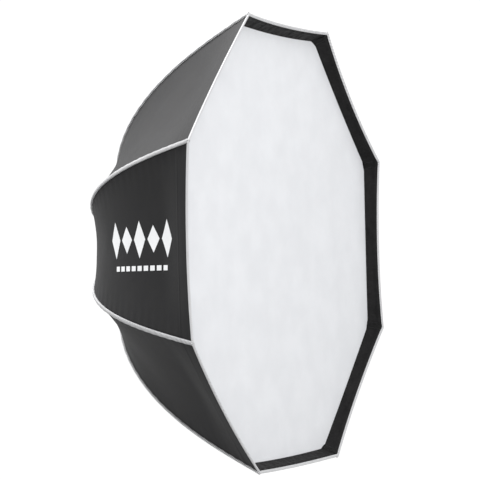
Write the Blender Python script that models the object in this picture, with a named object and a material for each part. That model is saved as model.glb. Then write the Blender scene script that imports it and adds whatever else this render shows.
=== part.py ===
"""Folding octagonal studio softbox, 1.2 m across its rim, with a bayonet lamp mount.

Metres, +Z up. The light leaves towards -Y and the lamp mounts on the +Y side. The origin
is the centre of the mount flange's rear seating face. Sizes are given in the softbox's own
terms: radius from the optical axis, distance forward of the flange seat (forward is -Y),
and distance sideways of a rib, towards the next rib round.
"""

import math

import bmesh
import bpy
from mathutils import Vector

# Driving sizes
RIBS = 8
FIRST_RIB_AZIMUTH = math.radians(22.5)
RIB_SPACING = 2 * math.pi / RIBS
RIM_RADIUS = 0.600
SHELL_DEPTH = 0.473
PIVOT_RADIUS = 0.105
PIVOT_FORWARD = 0.020
GAP = 0.0003

# Shell profile: the outer face of the fabric along a rib
SHELL_REAR_FORWARD = 0.010
RIM_FORWARD = SHELL_REAR_FORWARD + SHELL_DEPTH
RIM_LEAN = math.radians(62.4)
RIM_HANDLE = 0.083
HUB_HANDLE = 0.258
SOCKET_END_RADIUS = 0.150
GORE_REAR_RADIUS = 0.116

# Fabric panels
GORE_THICKNESS = 0.0015
PANEL_STEPS = 6
GORE_ROWS = 10
GORE_HOLLOW = 0.015
HOLLOW_DEPTH = 0.120
HOLLOW_FADE_FROM = 0.7

# Front opening: at mid-side the tight panels pull the rim back and slightly inward
RIM_BOW_BACK = 0.0085
RIM_BOW_INWARD = 0.0020
BINDING_DEPTH = 0.0030
BINDING_WIDTH = 0.0045
LIP_OUTER_INSET = 0.0096
LIP_INNER_INSET = 0.0110
LIP_TURN_DEPTH = 0.0050
LIP_TURN_STEP = 0.0006
LIP_FRONT_DEPTH = 0.0020
LIP_DEPTH = 0.042
LIP_REAR_BOW = 0.0050
DIFFUSER_FORWARD = RIM_FORWARD - 0.036
DIFFUSER_THICKNESS = 0.0015

# Inner diffuser and its elastic straps
INNER_FORWARD = 0.300
INNER_RADIUS = 0.445
INNER_THICKNESS = 0.0010
INNER_BOW = 0.020
STRAP_WIDTH = 0.012
STRAP_THICKNESS = 0.0014
STRAP_ROD_CLEARANCE = 0.0062

# Corner tabs
TAB_WIDTH = 0.026
TAB_LENGTH = 0.030
TAB_THICKNESS = 0.0016
TAB_FORWARD = DIFFUSER_FORWARD - DIFFUSER_THICKNESS - GAP
TAB_OUTER_RADIUS = 0.561

# Rib rods and their hinge blocks
ROD_HUB_RADIUS = 0.0030
ROD_TIP_RADIUS = 0.0025
ROD_TIP_INSET = 0.0050
ROD_HUB_INSET = PIVOT_FORWARD - SHELL_REAR_FORWARD
ROD_TIP_BACK = 0.045
ROD_SIDES = 6
ROD_ROWS = 11
ROD_START_RADIUS = 0.1235
SOCKET_START_RADIUS = 0.1220
SOCKET_BORE = 0.0036
NOSE_STEPS = 6
ROOT_HALF_WIDTH = 0.0075
ROOT_HALF_HEIGHT = 0.0060
ROOT_NOSE_RADIUS = 0.0072
PIN_RADIUS = 0.0025
PIN_BORE = 0.0029
PIN_HEAD_RADIUS = 0.0042
PIN_HEAD_LENGTH = 0.0020

# Hub
HUB_BORE = 0.0565
HUB_WEB_REAR = 0.0045
HUB_WEB_FRONT = 0.0125
HUB_WALL_INNER = 0.0880
HUB_WALL_OUTER = 0.0960
HUB_WALL_FRONT = 0.0300
COVER_STEP_RADIUS = 0.0900
COVER_REAR = 0.0030
COVER_FRONT = 0.0065
COVER_OUTER = 0.1340
LUG_INNER = ROOT_HALF_WIDTH + GAP
LUG_OUTER = 0.0118
LUG_NOSE_RADIUS = 0.0080
LUG_ROOT_DEPTH = 0.0040
BORE_OVERRUN = 0.0020

# Lamp mount
FLANGE_RADIUS = 0.0740
FLANGE_THICKNESS = 0.0040
THROAT_RADIUS = 0.0490
SPIGOT_RADIUS = 0.0560
SPIGOT_FRONT = 0.0130
NECK_RADIUS = 0.0530
NECK_REAR = -0.0100
BAYONET_RADIUS = 0.0585
BAYONET_FRONT = -0.0065
BAYONETS = 3
BAYONET_HALF_ANGLE = math.radians(20)
BAYONET_STEPS = 5
FIRST_BAYONET_AZIMUTH = math.radians(90)
KEEPER_RADIUS = 0.0640
KEEPER_THICKNESS = 0.0030
SCREWS = 3
FIRST_SCREW_AZIMUTH = math.radians(30)
SCREW_CIRCLE = 0.0525
SCREW_RADIUS = 0.0015
SCREW_BORE = 0.0018
SCREW_DEPTH = 0.0060
SCREW_HEAD_RADIUS = 0.0032
SCREW_HEAD_HEIGHT = 0.0022
SCREW_SOCKET_RADIUS = 0.0014
SCREW_SOCKET_DEPTH = 0.0012

# Swivel lock knob
KNOB_AZIMUTH = math.radians(270)
KNOB_CIRCLE = 0.0810
KNOB_RADIUS = 0.0088
KNOB_GRIP_DEPTH = 0.0010
KNOB_SIDES = 24
KNOB_FRONT = -0.0005
KNOB_REAR = -0.0125
KNOB_SHANK_RADIUS = 0.0025
KNOB_SHANK_FRONT = 0.0100
KNOB_BORE = 0.0029
KNOB_BORE_FRONT = 0.0105

RING_SEGMENTS = 40
SMALL_SEGMENTS = 12
FORWARD = Vector((0.0, -1.0, 0.0))


# ---------------------------------------------------------------- places

def rib_azimuth(rib):
    """Angle of a rib from +X towards +Z; ribs are counted from 0."""
    return FIRST_RIB_AZIMUTH + rib * RIB_SPACING


def outward(azimuth):
    return Vector((math.cos(azimuth), 0.0, math.sin(azimuth)))


def sideways(azimuth):
    return Vector((-math.sin(azimuth), 0.0, math.cos(azimuth)))


def place(azimuth, radius, forward, side=0.0):
    """World point from an azimuth, a radius, a forward distance and a sideways one."""
    return outward(azimuth) * radius + FORWARD * forward + sideways(azimuth) * side


def shell_at(travel):
    """Outer profile (radius, forward) and its inward normal; travel 0 is the rim."""
    rim = Vector((RIM_RADIUS, RIM_FORWARD))
    rim_pull = rim - Vector((math.cos(RIM_LEAN), math.sin(RIM_LEAN))) * RIM_HANDLE
    root = Vector((SOCKET_END_RADIUS, SHELL_REAR_FORWARD))
    root_pull = root + Vector((HUB_HANDLE, 0.0))
    back = 1.0 - travel
    point = (
        rim * back**3
        + rim_pull * 3 * back**2 * travel
        + root_pull * 3 * back * travel**2
        + root * travel**3
    )
    heading = (
        (rim_pull - rim) * back**2
        + (root_pull - rim_pull) * 2 * back * travel
        + (root - root_pull) * travel**2
    ).normalized()
    return point, Vector((heading.y, -heading.x))


def shell_radius(forward):
    """Radius of the outer profile at a forward distance, found by halving."""
    low, high = 0.0, 1.0
    for _ in range(40):
        middle = (low + high) / 2
        if shell_at(middle)[0].y > forward:
            low = middle
        else:
            high = middle
    return shell_at(low)[0].x


def panel_point(panel, across, radius, forward, inward, back):
    """Point on the chord between two ribs, moved inward and back at mid-panel."""
    near = place(rib_azimuth(panel), radius, forward)
    far = place(rib_azimuth(panel + 1), radius, forward)
    middle = outward(rib_azimuth(panel) + RIB_SPACING / 2)
    bow = 4 * across * (1 - across)
    return near.lerp(far, across) - (FORWARD * back + middle * inward) * bow


def eased(share):
    """Smooth rise from 0 to 1."""
    share = min(max(share, 0.0), 1.0)
    return share * share * (3 - 2 * share)


# ---------------------------------------------------------------- meshes

def material(name, colour, roughness, metallic=0.0):
    made = bpy.data.materials.new(name)
    made.use_nodes = True
    shader = made.node_tree.nodes["Principled BSDF"]
    shader.inputs["Base Color"].default_value = (*colour, 1.0)
    shader.inputs["Roughness"].default_value = roughness
    shader.inputs["Metallic"].default_value = metallic
    return made


def piece(name, points, faces, look, origin=Vector(), smooth=False):
    """One closed body, its faces turned outward and its origin where it is asked for."""
    mesh = bpy.data.meshes.new(name)
    mesh.from_pydata([Vector(p) - origin for p in points], [], faces)
    work = bmesh.new()
    work.from_mesh(mesh)
    bmesh.ops.recalc_face_normals(work, faces=work.faces)
    work.to_mesh(mesh)
    work.free()
    mesh.polygons.foreach_set("use_smooth", [smooth] * len(mesh.polygons))
    made = bpy.data.objects.new(name, mesh)
    made.location = origin
    bpy.context.scene.collection.objects.link(made)
    mesh.materials.append(material(name, *look))
    return made


def combine(target, tool, operation):
    """Apply one exact Boolean to the target and remove the tool."""
    step = target.modifiers.new(operation.title(), "BOOLEAN")
    step.operation = operation
    step.solver = "EXACT"
    step.object = tool
    bpy.context.view_layer.update()
    evaluated = target.evaluated_get(bpy.context.evaluated_depsgraph_get())
    result = bpy.data.meshes.new_from_object(evaluated)
    target.modifiers.clear()
    result.materials.clear()
    result.materials.append(target.data.materials[0])
    target.data = result
    bpy.data.objects.remove(tool)


def joined(shapes):
    """Points and faces of several separate shapes as one list."""
    points, faces = [], []
    for more_points, more_faces in shapes:
        start = len(points)
        points += more_points
        faces += [[start + index for index in face] for face in more_faces]
    return points, faces


def turned_solid(profile, segments, spin=0.0):
    """Solid of revolution; the profile runs from one end on the axis to the other."""
    inner = profile[1:-1]
    points = [(0.0, 0.0, profile[0][1])]
    for radius, height in inner:
        for step in range(segments):
            angle = spin + 2 * math.pi * step / segments
            points.append((radius * math.cos(angle), radius * math.sin(angle), height))
    points.append((0.0, 0.0, profile[-1][1]))
    last = len(points) - 1
    faces = []
    for step in range(segments):
        following = (step + 1) % segments
        faces.append([0, 1 + following, 1 + step])
        for row in range(len(inner) - 1):
            low, high = 1 + row * segments, 1 + (row + 1) * segments
            faces.append([low + step, low + following, high + following, high + step])
        top = 1 + (len(inner) - 1) * segments
        faces.append([top + step, top + following, last])
    return points, faces


def turned_ring(profile, segments):
    """Ring of revolution about the optical axis from a closed (radius, forward) outline."""
    count = len(profile)
    points = []
    for step in range(segments):
        azimuth = 2 * math.pi * step / segments
        points += [place(azimuth, radius, forward) for radius, forward in profile]
    return points, loop_faces(segments, count)


def loop_faces(stations, count):
    """Faces of a closed tube whose stations run right round and meet."""
    faces = []
    for step in range(stations):
        here, there = step * count, ((step + 1) % stations) * count
        for corner in range(count):
            beside = (corner + 1) % count
            faces.append([here + corner, here + beside, there + beside, there + corner])
    return faces


def extruded(outline, azimuth, low_side, high_side):
    """Block with a (radius, forward) outline, running sideways of a rib."""
    count = len(outline)
    points = [place(azimuth, r, f, low_side) for r, f in outline]
    points += [place(azimuth, r, f, high_side) for r, f in outline]
    faces = [list(range(count)), list(range(count, 2 * count))]
    for corner in range(count):
        beside = (corner + 1) % count
        faces.append([corner, beside, count + beside, count + corner])
    return points, faces


def set_on(points, centre, x_way, y_way, z_way):
    """Carry local points to a centre and three directions."""
    return [centre + x_way * x + y_way * y + z_way * z for x, y, z in points]


def across_rib(shape, azimuth, radius, forward):
    """Put a turned shape with its axis sideways of a rib."""
    points, faces = shape
    centre = place(azimuth, radius, forward)
    return set_on(points, centre, outward(azimuth), FORWARD, sideways(azimuth)), faces


def along_axis(shape, azimuth, radius):
    """Put a turned shape with its axis parallel to the optical axis, pointing forward."""
    points, faces = shape
    centre = place(azimuth, radius, 0.0)
    return set_on(points, centre, outward(azimuth), sideways(azimuth), FORWARD), faces


def along_rib(shape, azimuth, forward):
    """Put a turned shape with its axis pointing outward along a rib's root."""
    points, faces = shape
    centre = place(azimuth, 0.0, forward)
    return set_on(points, centre, sideways(azimuth), FORWARD, outward(azimuth)), faces


def rod_between(radius, low, high):
    return turned_solid([(0, low), (radius, low), (radius, high), (0, high)], SMALL_SEGMENTS)


# ---------------------------------------------------------------- looks

BLACK_CLOTH = ((0.012, 0.012, 0.013), 0.85)
BLACK_WEBBING = ((0.010, 0.010, 0.010), 0.75)
WHITE_CLOTH = ((0.86, 0.87, 0.88), 0.80)
GREY_TAPE = ((0.62, 0.63, 0.65), 0.70)
GREY_FIBRE = ((0.10, 0.10, 0.11), 0.35)
BLACK_PLASTIC = ((0.020, 0.020, 0.021), 0.45)
BLACK_METAL = ((0.030, 0.030, 0.032), 0.40, 0.6)
BRIGHT_METAL = ((0.62, 0.62, 0.64), 0.28, 1.0)


# ---------------------------------------------------------------- lamp mount

def build_flange():
    """Bayonet insert: plate, throat, front spigot and three rear bayonet lugs."""
    profile = [
        (THROAT_RADIUS, NECK_REAR),
        (NECK_RADIUS, NECK_REAR),
        (NECK_RADIUS, 0.0),
        (FLANGE_RADIUS, 0.0),
        (FLANGE_RADIUS, FLANGE_THICKNESS),
        (SPIGOT_RADIUS, FLANGE_THICKNESS),
        (SPIGOT_RADIUS, SPIGOT_FRONT),
        (THROAT_RADIUS, SPIGOT_FRONT),
    ]
    flange = piece("bayonet_flange", *turned_ring(profile, RING_SEGMENTS), BRIGHT_METAL)
    lugs = joined([bayonet_lug(index) for index in range(BAYONETS)])
    combine(flange, piece("lug_tool", *lugs, BRIGHT_METAL), "UNION")
    bores = joined([screw_bore(index, SPIGOT_FRONT - SCREW_DEPTH) for index in range(SCREWS)])
    combine(flange, piece("bore_tool", *bores, BRIGHT_METAL), "DIFFERENCE")


def bayonet_lug(index):
    """One curved lug standing out from the rear end of the neck."""
    middle = FIRST_BAYONET_AZIMUTH + 2 * math.pi * index / BAYONETS
    root_radius = (THROAT_RADIUS + NECK_RADIUS) / 2
    rear = NECK_REAR + GAP
    points, faces = [], []
    for step in range(BAYONET_STEPS + 1):
        azimuth = middle + BAYONET_HALF_ANGLE * (2 * step / BAYONET_STEPS - 1)
        points += [
            place(azimuth, root_radius, rear),
            place(azimuth, BAYONET_RADIUS, rear),
            place(azimuth, BAYONET_RADIUS, BAYONET_FRONT),
            place(azimuth, root_radius, BAYONET_FRONT),
        ]
    for step in range(BAYONET_STEPS):
        for corner in range(4):
            beside = (corner + 1) % 4
            here, there = 4 * step, 4 * step + 4
            faces.append([here + corner, here + beside, there + beside, there + corner])
    faces += [[0, 1, 2, 3], [4 * BAYONET_STEPS + corner for corner in range(4)]]
    return points, faces


def screw_azimuth(index):
    return FIRST_SCREW_AZIMUTH + 2 * math.pi * index / SCREWS


def screw_bore(index, start):
    """Tool for a screw bore, from a depth to clear of the keeper's front."""
    end = SPIGOT_FRONT + GAP + KEEPER_THICKNESS + BORE_OVERRUN
    return along_axis(rod_between(SCREW_BORE, start, end), screw_azimuth(index), SCREW_CIRCLE)


def build_keeper():
    """Ring screwed to the spigot that keeps the hub on its bearing."""
    rear = SPIGOT_FRONT + GAP
    inner = THROAT_RADIUS + GAP
    front = rear + KEEPER_THICKNESS
    profile = [(inner, rear), (KEEPER_RADIUS, rear), (KEEPER_RADIUS, front), (inner, front)]
    keeper = piece("retaining_ring", *turned_ring(profile, RING_SEGMENTS), BLACK_METAL)
    bores = joined([screw_bore(index, rear - BORE_OVERRUN) for index in range(SCREWS)])
    combine(keeper, piece("bore_tool", *bores, BLACK_METAL), "DIFFERENCE")


def build_screws():
    under_head = SPIGOT_FRONT + 2 * GAP + KEEPER_THICKNESS
    top = under_head + SCREW_HEAD_HEIGHT
    end = SPIGOT_FRONT - SCREW_DEPTH + 2 * GAP
    profile = [
        (0, end),
        (SCREW_RADIUS, end),
        (SCREW_RADIUS, under_head),
        (SCREW_HEAD_RADIUS, under_head),
        (SCREW_HEAD_RADIUS, top - GAP),
        (SCREW_HEAD_RADIUS - GAP, top),
        (SCREW_SOCKET_RADIUS, top),
        (SCREW_SOCKET_RADIUS, top - SCREW_SOCKET_DEPTH),
        (0, top - SCREW_SOCKET_DEPTH),
    ]
    for index in range(SCREWS):
        azimuth = screw_azimuth(index)
        shape = along_axis(turned_solid(profile, SMALL_SEGMENTS), azimuth, SCREW_CIRCLE)
        origin = place(azimuth, SCREW_CIRCLE, under_head)
        piece(f"retaining_screw_{index + 1}", *shape, BRIGHT_METAL, origin)


# ---------------------------------------------------------------- hub

def build_hub():
    """Rotating hub ring: bearing web, outer wall and eight hinge forks."""
    profile = [
        (HUB_BORE, HUB_WEB_REAR),
        (COVER_STEP_RADIUS, HUB_WEB_REAR),
        (COVER_STEP_RADIUS, COVER_FRONT + GAP),
        (HUB_WALL_OUTER, COVER_FRONT + GAP),
        (HUB_WALL_OUTER, HUB_WALL_FRONT),
        (HUB_WALL_INNER, HUB_WALL_FRONT),
        (HUB_WALL_INNER, HUB_WEB_FRONT),
        (HUB_BORE, HUB_WEB_FRONT),
    ]
    hub = piece("hub_ring", *turned_ring(profile, RING_SEGMENTS), BLACK_METAL)
    lugs = []
    for rib in range(RIBS):
        for low, high in ((-LUG_OUTER, -LUG_INNER), (LUG_INNER, LUG_OUTER)):
            lugs.append(extruded(lug_outline(), rib_azimuth(rib), low, high))
    combine(hub, piece("lug_tool", *joined(lugs), BLACK_METAL), "UNION")
    bores = [pin_bore(rib) for rib in range(RIBS)]
    knob_bore = rod_between(KNOB_BORE, 0.0, KNOB_BORE_FRONT)
    bores.append(along_axis(knob_bore, KNOB_AZIMUTH, KNOB_CIRCLE))
    combine(hub, piece("bore_tool", *joined(bores), BLACK_METAL), "DIFFERENCE")


def nose_outline(root_radius, nose_radius, half_height, outward_nose):
    """Outline with a round nose about the hinge pivot and a square other end."""
    turn = 0.0 if outward_nose else math.pi
    outline = []
    for step in range(NOSE_STEPS + 1):
        angle = turn - math.pi / 2 + math.pi * step / NOSE_STEPS
        radius = PIVOT_RADIUS + nose_radius * math.cos(angle)
        outline.append((radius, PIVOT_FORWARD + nose_radius * math.sin(angle)))
    end = half_height if outward_nose else -half_height
    outline.append((root_radius, PIVOT_FORWARD + end))
    outline.append((root_radius, PIVOT_FORWARD - end))
    return outline


def lug_outline():
    root_radius = HUB_WALL_INNER + LUG_ROOT_DEPTH
    return nose_outline(root_radius, LUG_NOSE_RADIUS, LUG_NOSE_RADIUS, True)


def pin_bore(rib):
    reach = LUG_OUTER + BORE_OVERRUN
    bore = rod_between(PIN_BORE, -reach, reach)
    return across_rib(bore, rib_azimuth(rib), PIVOT_RADIUS, PIVOT_FORWARD)


def build_pin(rib):
    """Hinge pin with a head at each end, through the fork and the rib's root block."""
    end = LUG_OUTER + GAP
    head = end + PIN_HEAD_LENGTH
    profile = [
        (0, -head),
        (PIN_HEAD_RADIUS, -head),
        (PIN_HEAD_RADIUS, -end),
        (PIN_RADIUS, -end),
        (PIN_RADIUS, end),
        (PIN_HEAD_RADIUS, end),
        (PIN_HEAD_RADIUS, head),
        (0, head),
    ]
    azimuth = rib_azimuth(rib)
    shape = across_rib(turned_solid(profile, SMALL_SEGMENTS), azimuth, PIVOT_RADIUS, PIVOT_FORWARD)
    origin = place(azimuth, PIVOT_RADIUS, PIVOT_FORWARD)
    piece(f"hinge_pin_{rib + 1}", *shape, BRIGHT_METAL, origin)


def build_rear_cover():
    """Flat ring behind the hub that hides the fabric's rear edge."""
    inner = COVER_STEP_RADIUS + GAP
    profile = [
        (inner, COVER_REAR),
        (COVER_OUTER, COVER_REAR),
        (COVER_OUTER, COVER_FRONT),
        (inner, COVER_FRONT),
    ]
    piece("rear_cover", *turned_ring(profile, RING_SEGMENTS), BLACK_PLASTIC)


def build_knob():
    """Fluted thumbscrew whose head bears on the edge of the mount flange."""
    points, faces = turned_solid(
        [
            (0, KNOB_REAR),
            (KNOB_RADIUS - KNOB_GRIP_DEPTH, KNOB_REAR),
            (KNOB_RADIUS, KNOB_REAR + KNOB_GRIP_DEPTH),
            (KNOB_RADIUS, KNOB_FRONT),
            (KNOB_SHANK_RADIUS, KNOB_FRONT),
            (KNOB_SHANK_RADIUS, KNOB_SHANK_FRONT),
            (0, KNOB_SHANK_FRONT),
        ],
        KNOB_SIDES,
    )
    fluted = []
    for index, (x, y, z) in enumerate(points):
        on_grip = math.hypot(x, y) > KNOB_RADIUS - GAP
        shrink = 1 - KNOB_GRIP_DEPTH / KNOB_RADIUS if on_grip and index % 2 else 1.0
        fluted.append((x * shrink, y * shrink, z))
    shape = along_axis((fluted, faces), KNOB_AZIMUTH, KNOB_CIRCLE)
    origin = place(KNOB_AZIMUTH, KNOB_CIRCLE, 0.0)
    piece("swivel_lock_knob", *shape, BLACK_PLASTIC, origin)


# ---------------------------------------------------------------- ribs

def build_root(rib):
    """Block at the rib's foot: a tongue on the hinge pin and a socket for the rod."""
    azimuth = rib_azimuth(rib)
    outline = nose_outline(SOCKET_END_RADIUS, ROOT_NOSE_RADIUS, ROOT_HALF_HEIGHT, False)
    shape = extruded(outline, azimuth, -ROOT_HALF_WIDTH, ROOT_HALF_WIDTH)
    origin = place(azimuth, PIVOT_RADIUS, PIVOT_FORWARD)
    root = piece(f"rib_root_{rib + 1}", *shape, BLACK_PLASTIC, origin)
    socket = rod_between(SOCKET_BORE, SOCKET_START_RADIUS, SOCKET_END_RADIUS + BORE_OVERRUN)
    tools = joined([pin_bore(rib), along_rib(socket, azimuth, PIVOT_FORWARD)])
    combine(root, piece("bore_tool", *tools, BLACK_PLASTIC), "DIFFERENCE")


def rod_line():
    """Rod centreline as (radius, forward, rod radius) from the socket to the tip."""
    line = [(ROD_START_RADIUS, PIVOT_FORWARD, ROD_HUB_RADIUS)]
    for row in range(ROD_ROWS):
        travel = 1.0 + (ROD_TIP_BACK - 1.0) * row / (ROD_ROWS - 1)
        point, inward = shell_at(travel)
        centre = point + inward * (ROD_TIP_INSET + (ROD_HUB_INSET - ROD_TIP_INSET) * travel)
        thickness = ROD_TIP_RADIUS + (ROD_HUB_RADIUS - ROD_TIP_RADIUS) * travel
        line.append((centre.x, centre.y, thickness))
    return line


def build_rod(rib):
    """Bowed rod, round, thinning slightly towards the rim."""
    azimuth = rib_azimuth(rib)
    line = rod_line()
    points, faces = [], []
    for index, (radius, forward, thickness) in enumerate(line):
        before = line[max(index - 1, 0)]
        after = line[min(index + 1, len(line) - 1)]
        heading = Vector((after[0] - before[0], after[1] - before[1])).normalized()
        for side in range(ROD_SIDES):
            angle = 2 * math.pi * side / ROD_SIDES
            lift = thickness * math.cos(angle)
            points.append(place(azimuth, radius - heading.y * lift, forward + heading.x * lift,
                                thickness * math.sin(angle)))
    for row in range(len(line) - 1):
        for side in range(ROD_SIDES):
            beside = (side + 1) % ROD_SIDES
            here, there = row * ROD_SIDES, (row + 1) * ROD_SIDES
            faces.append([here + side, here + beside, there + beside, there + side])
    faces.append(list(range(ROD_SIDES)))
    faces.append([len(points) - ROD_SIDES + side for side in range(ROD_SIDES)])
    origin = place(azimuth, PIVOT_RADIUS, PIVOT_FORWARD)
    piece(f"rib_rod_{rib + 1}", points, faces, GREY_FIBRE, origin, smooth=True)


def flat_strip(rib, inner, outer, forward, thickness, width, name, look, origin):
    """Flat strip of webbing lying square to the optical axis."""
    azimuth = rib_azimuth(rib)
    outline = [
        (inner, forward),
        (outer, forward),
        (outer, forward - thickness),
        (inner, forward - thickness),
    ]
    shape = extruded(outline, azimuth, -width / 2, width / 2)
    piece(name, *shape, look, origin)


def build_corner_tab(rib):
    """Webbing tab sewn behind each corner of the front diffuser."""
    origin = place(rib_azimuth(rib), diffuser_corner_radius(), DIFFUSER_FORWARD)
    flat_strip(rib, TAB_OUTER_RADIUS - TAB_LENGTH, TAB_OUTER_RADIUS, TAB_FORWARD,
               TAB_THICKNESS, TAB_WIDTH, f"corner_tab_{rib + 1}", BLACK_WEBBING, origin)


def rod_radius_at(forward):
    """Distance of the rod's centreline from the optical axis at a forward distance."""
    line = rod_line()
    for near, far in zip(line, line[1:]):
        if near[1] <= forward <= far[1]:
            share = (forward - near[1]) / (far[1] - near[1])
            return near[0] + (far[0] - near[0]) * share
    return line[-1][0]


def build_inner_strap(rib):
    """Elastic strap from a rib to a corner of the inner diffuser."""
    anchor = rod_radius_at(INNER_FORWARD)
    origin = place(rib_azimuth(rib), anchor, INNER_FORWARD)
    middle = INNER_FORWARD + STRAP_THICKNESS / 2
    flat_strip(rib, INNER_RADIUS + GAP, anchor - STRAP_ROD_CLEARANCE, middle,
               STRAP_THICKNESS, STRAP_WIDTH, f"inner_strap_{rib + 1}", BLACK_WEBBING, origin)


# ---------------------------------------------------------------- fabric

def gore_bow(point, inward, travel):
    """Mid-panel shift (inward, back): the rim's bow giving way to the panel's hollow."""
    rise = eased((RIM_FORWARD - point.y) / HOLLOW_DEPTH)
    hollow = rise * min(1.0, (1.0 - travel) / (1.0 - HOLLOW_FADE_FROM)) * GORE_HOLLOW
    rim_share = 1.0 - rise
    return (
        RIM_BOW_INWARD * rim_share - inward.x * hollow,
        RIM_BOW_BACK * rim_share - inward.y * hollow,
    )


def gore_stations():
    """Profile stations from the rim to the rear edge: point, inward normal, bow."""
    front_edge = RIM_FORWARD - BINDING_DEPTH - GAP
    front = Vector((shell_radius(front_edge), front_edge))
    stations = [(front, Vector((-1.0, 0.0)), (RIM_BOW_INWARD, RIM_BOW_BACK))]
    for row in range(1, GORE_ROWS + 1):
        travel = row / GORE_ROWS
        point, inward = shell_at(travel)
        stations.append((point, inward, gore_bow(point, inward, travel)))
    rear = Vector((GORE_REAR_RADIUS, SHELL_REAR_FORWARD))
    stations.append((rear, Vector((0.0, 1.0)), (0.0, 0.0)))
    return stations


def build_gore(panel):
    """One black panel from rib to rib, hollow between the ribs, as a thin closed shell."""
    stations = gore_stations()
    columns = PANEL_STEPS + 1
    points = []
    for depth in (0.0, GORE_THICKNESS):
        for point, inward, bow in stations:
            layer = point + inward * depth
            edge = GAP / 2 / (math.sin(RIB_SPACING) * layer.x)
            for column in range(columns):
                across = edge + (1 - 2 * edge) * column / PANEL_STEPS
                points.append(panel_point(panel, across, layer.x, layer.y, *bow))
    rows = len(stations)
    layer_size = rows * columns
    faces = []
    for row in range(rows - 1):
        for column in range(PANEL_STEPS):
            corner = row * columns + column
            quad = [corner, corner + 1, corner + columns + 1, corner + columns]
            faces.append(quad)
            faces.append([layer_size + index for index in reversed(quad)])
    edge_loop = list(range(columns))
    edge_loop += [row * columns + PANEL_STEPS for row in range(1, rows)]
    edge_loop += [(rows - 1) * columns + column for column in reversed(range(PANEL_STEPS))]
    edge_loop += [row * columns for row in reversed(range(1, rows - 1))]
    for here, there in zip(edge_loop, edge_loop[1:] + edge_loop[:1]):
        faces.append([here, there, layer_size + there, layer_size + here])
    middle = rib_azimuth(panel) + RIB_SPACING / 2
    origin = place(middle, PIVOT_RADIUS / math.cos(RIB_SPACING / 2), PIVOT_FORWARD)
    piece(f"gore_panel_{panel + 1}", points, faces, BLACK_CLOTH, origin, smooth=True)


def band(name, section, look):
    """Ring right round the opening from (inset, depth behind the rim, inward, back) corners."""
    points = []
    for panel in range(RIBS):
        for step in range(PANEL_STEPS):
            for inset, depth, inward, back in section:
                forward = RIM_FORWARD - depth
                radius = shell_radius(forward) - inset
                points.append(panel_point(panel, step / PANEL_STEPS, radius, forward, inward, back))
    piece(name, points, loop_faces(RIBS * PANEL_STEPS, len(section)), look)


def lip_corner(inset, depth):
    """Corner of the border's section; its bow changes from the rim's to the diffuser's."""
    share = depth / LIP_DEPTH
    inward = RIM_BOW_INWARD + (LIP_REAR_BOW - RIM_BOW_INWARD) * share
    return inset, depth, inward, RIM_BOW_BACK * (1.0 - share)


def build_front_border():
    """Black band that turns in over the rod tips and runs back past the diffuser."""
    front_inset = BINDING_WIDTH + GAP
    section = [
        lip_corner(front_inset, GAP),
        lip_corner(LIP_INNER_INSET, LIP_TURN_DEPTH),
        lip_corner(LIP_INNER_INSET, LIP_DEPTH),
        lip_corner(LIP_OUTER_INSET, LIP_DEPTH),
        lip_corner(LIP_OUTER_INSET, LIP_TURN_DEPTH + LIP_TURN_STEP),
        lip_corner(front_inset, LIP_FRONT_DEPTH),
    ]
    band("front_border", section, BLACK_CLOTH)


def build_rim_binding():
    """Pale tape that binds the front edges of the panels and the border."""
    bow = (RIM_BOW_INWARD, RIM_BOW_BACK)
    section = [
        (0.0, BINDING_DEPTH, *bow),
        (0.0, 0.0, *bow),
        (BINDING_WIDTH, 0.0, *bow),
        (BINDING_WIDTH, BINDING_DEPTH, *bow),
    ]
    band("rim_binding", section, GREY_TAPE)


def diffuser_corner_radius():
    rear_face = DIFFUSER_FORWARD - DIFFUSER_THICKNESS
    return shell_radius(rear_face) - LIP_INNER_INSET - 2 * GAP


def cloth_plate(name, radius, front, thickness, bow, look):
    """Flat octagonal cloth with hollow sides, as a thin closed plate."""
    stations = RIBS * PANEL_STEPS
    points = []
    for forward in (front, front - thickness):
        for panel in range(RIBS):
            for step in range(PANEL_STEPS):
                points.append(panel_point(panel, step / PANEL_STEPS, radius, forward, bow, 0.0))
        points.append(FORWARD * forward)
    second = stations + 1
    faces = []
    for step in range(stations):
        following = (step + 1) % stations
        faces.append([stations, step, following])
        faces.append([second + stations, second + following, second + step])
        faces.append([step, second + step, second + following, following])
    piece(name, points, faces, look, FORWARD * front)


def build_all():
    for old in list(bpy.data.objects):
        bpy.data.objects.remove(old)
    build_flange()
    build_keeper()
    build_screws()
    build_hub()
    build_rear_cover()
    build_knob()
    for rib in range(RIBS):
        build_pin(rib)
        build_root(rib)
        build_rod(rib)
        build_corner_tab(rib)
        build_inner_strap(rib)
        build_gore(rib)
    build_front_border()
    build_rim_binding()
    cloth_plate("front_diffuser", diffuser_corner_radius(), DIFFUSER_FORWARD,
                DIFFUSER_THICKNESS, LIP_REAR_BOW, WHITE_CLOTH)
    cloth_plate("inner_diffuser", INNER_RADIUS, INNER_FORWARD + INNER_THICKNESS / 2,
                INNER_THICKNESS, INNER_BOW, WHITE_CLOTH)


build_all()
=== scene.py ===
"""Looks of a folding octagonal studio softbox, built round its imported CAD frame.

Metres in the row frame: +Z up, the light leaves towards -Y, and the origin is the centre
of the mount flange. Cloth is laid out by panel: `across` is the share of the way from one
rib to the next, and `along` is the distance along the cloth from the rim to the hub.
"""
import math

import bmesh
import bpy
import numpy as np
from mathutils import Matrix, Vector


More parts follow.
